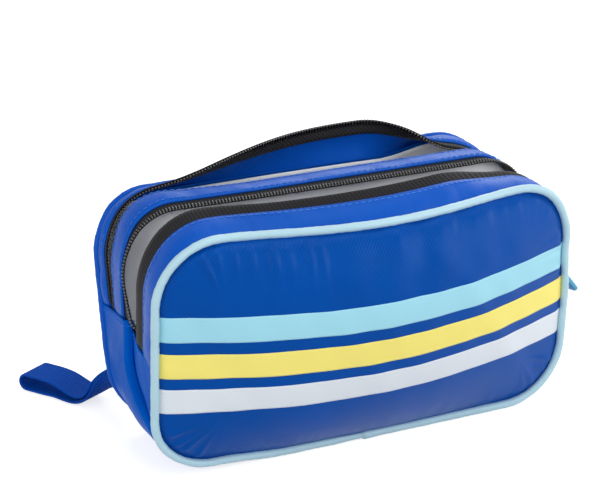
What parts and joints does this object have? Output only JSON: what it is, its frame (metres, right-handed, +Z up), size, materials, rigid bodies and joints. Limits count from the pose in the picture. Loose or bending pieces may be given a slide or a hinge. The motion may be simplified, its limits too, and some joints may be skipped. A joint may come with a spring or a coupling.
{
  "type": "soft zip case",
  "caption": "Soft insulated case for a home blood-test kit: padded front and rear covers with piping and printed stripes, each opening on its own zip round a padded divider, with a hand strap.",
  "frame": {"origin": "centre of the flat underside of the base, on the ground", "axes": "+X along the case's width, to the right as seen from the front; the striped front faces -Y; +Z up"},
  "size_m": [0.2536, 0.1652, 0.1278],
  "materials": {
    "blue_nylon": "coated twill, satin",
    "blue_strip": "coated twill, satin",
    "pale_cord": "satin",
    "sky_print": "smooth print",
    "yellow_print": "smooth print",
    "white_print": "smooth print",
    "black_tape": "woven, matt",
    "black_coil": "satin",
    "silver_lining": "metallised film",
    "grey_foam": "foam",
    "black_metal": "satin",
    "pale_rubber": "satin",
    "blue_webbing": "ribbed webbing, matt"
  },
  "bodies": {
    "core": {"base_gusset": "blue_nylon", "base_lining": "silver_lining", "base_foam": "grey_foam", "mid_gusset": "blue_strip", "front_zip_tape_inner": "black_tape", "front_zip_coil_inner": "black_coil", "rear_zip_tape_inner": "black_tape", "rear_zip_coil_inner": "black_coil", "divider_foam": "grey_foam", "divider_front_lining": "silver_lining", "divider_rear_lining": "silver_lining"},
    "front_cover": {"front_panel": "blue_nylon", "front_foam": "grey_foam", "front_lining": "silver_lining", "front_piping": "pale_cord", "front_gusset": "blue_strip", "front_zip_tape_outer": "black_tape", "front_zip_coil_outer": "black_coil", "front_gore_left": "blue_nylon", "front_gore_right": "blue_nylon", "stripe_white": "white_print", "stripe_yellow": "yellow_print", "stripe_light_blue": "sky_print"},
    "rear_cover": {"rear_panel": "blue_nylon", "rear_foam": "grey_foam", "rear_lining": "silver_lining", "rear_piping": "blue_strip", "rear_gusset": "blue_strip", "rear_zip_tape_outer": "black_tape", "rear_zip_coil_outer": "black_coil", "rear_gore_left": "blue_nylon", "rear_gore_right": "blue_nylon"},
    "front_slider": {"front_zip_slider": "black_metal"},
    "front_puller": {"front_pull_link": "black_metal", "front_pull_tag": "pale_rubber"},
    "rear_slider": {"rear_zip_slider": "black_metal"},
    "rear_puller": {"rear_pull_link": "black_metal", "rear_pull_tag": "pale_rubber"},
    "strap": {"hand_strap": "blue_webbing"}
  },
  "joints": [
    {"name": "front_cover_hinge", "type": "hinge", "parent": "core", "child": "front_cover", "pos_m": [0, -0.02693, 0.0027], "axis": [1, 0, 0], "range_deg": [-8, 10]},
    {"name": "rear_cover_hinge", "type": "hinge", "parent": "core", "child": "rear_cover", "pos_m": [0, 0.02693, 0.0027], "axis": [-1, 0, 0], "range_deg": [-1, 6]},
    {"name": "front_slider_slide", "type": "slide", "parent": "core", "child": "front_slider", "axis": [0, 0.1392, 0.9903], "range_m": [0, 0.009]},
    {"name": "rear_slider_slide", "type": "slide", "parent": "core", "child": "rear_slider", "axis": [0, 0.1392, 0.9903], "range_m": [0, 0.009]},
    {"name": "front_puller_swing", "type": "hinge", "parent": "front_slider", "child": "front_puller", "pos_m": [0.1084, -0.00259, 0.07051], "axis": [0, -0.9903, 0.1392], "range_deg": [-34, 110]},
    {"name": "rear_puller_swing", "type": "hinge", "parent": "rear_slider", "child": "rear_puller", "pos_m": [0.1084, 0.01821, 0.06759], "axis": [0, -0.9903, 0.1392], "range_deg": [-34, 110]},
    {"name": "strap_swing", "type": "hinge", "parent": "rear_cover", "child": "strap", "pos_m": [-0.092, 0.0337, 0.0197], "axis": [0, 0.1908, 0.9816], "range_deg": [-30, 40]}
  ]
}
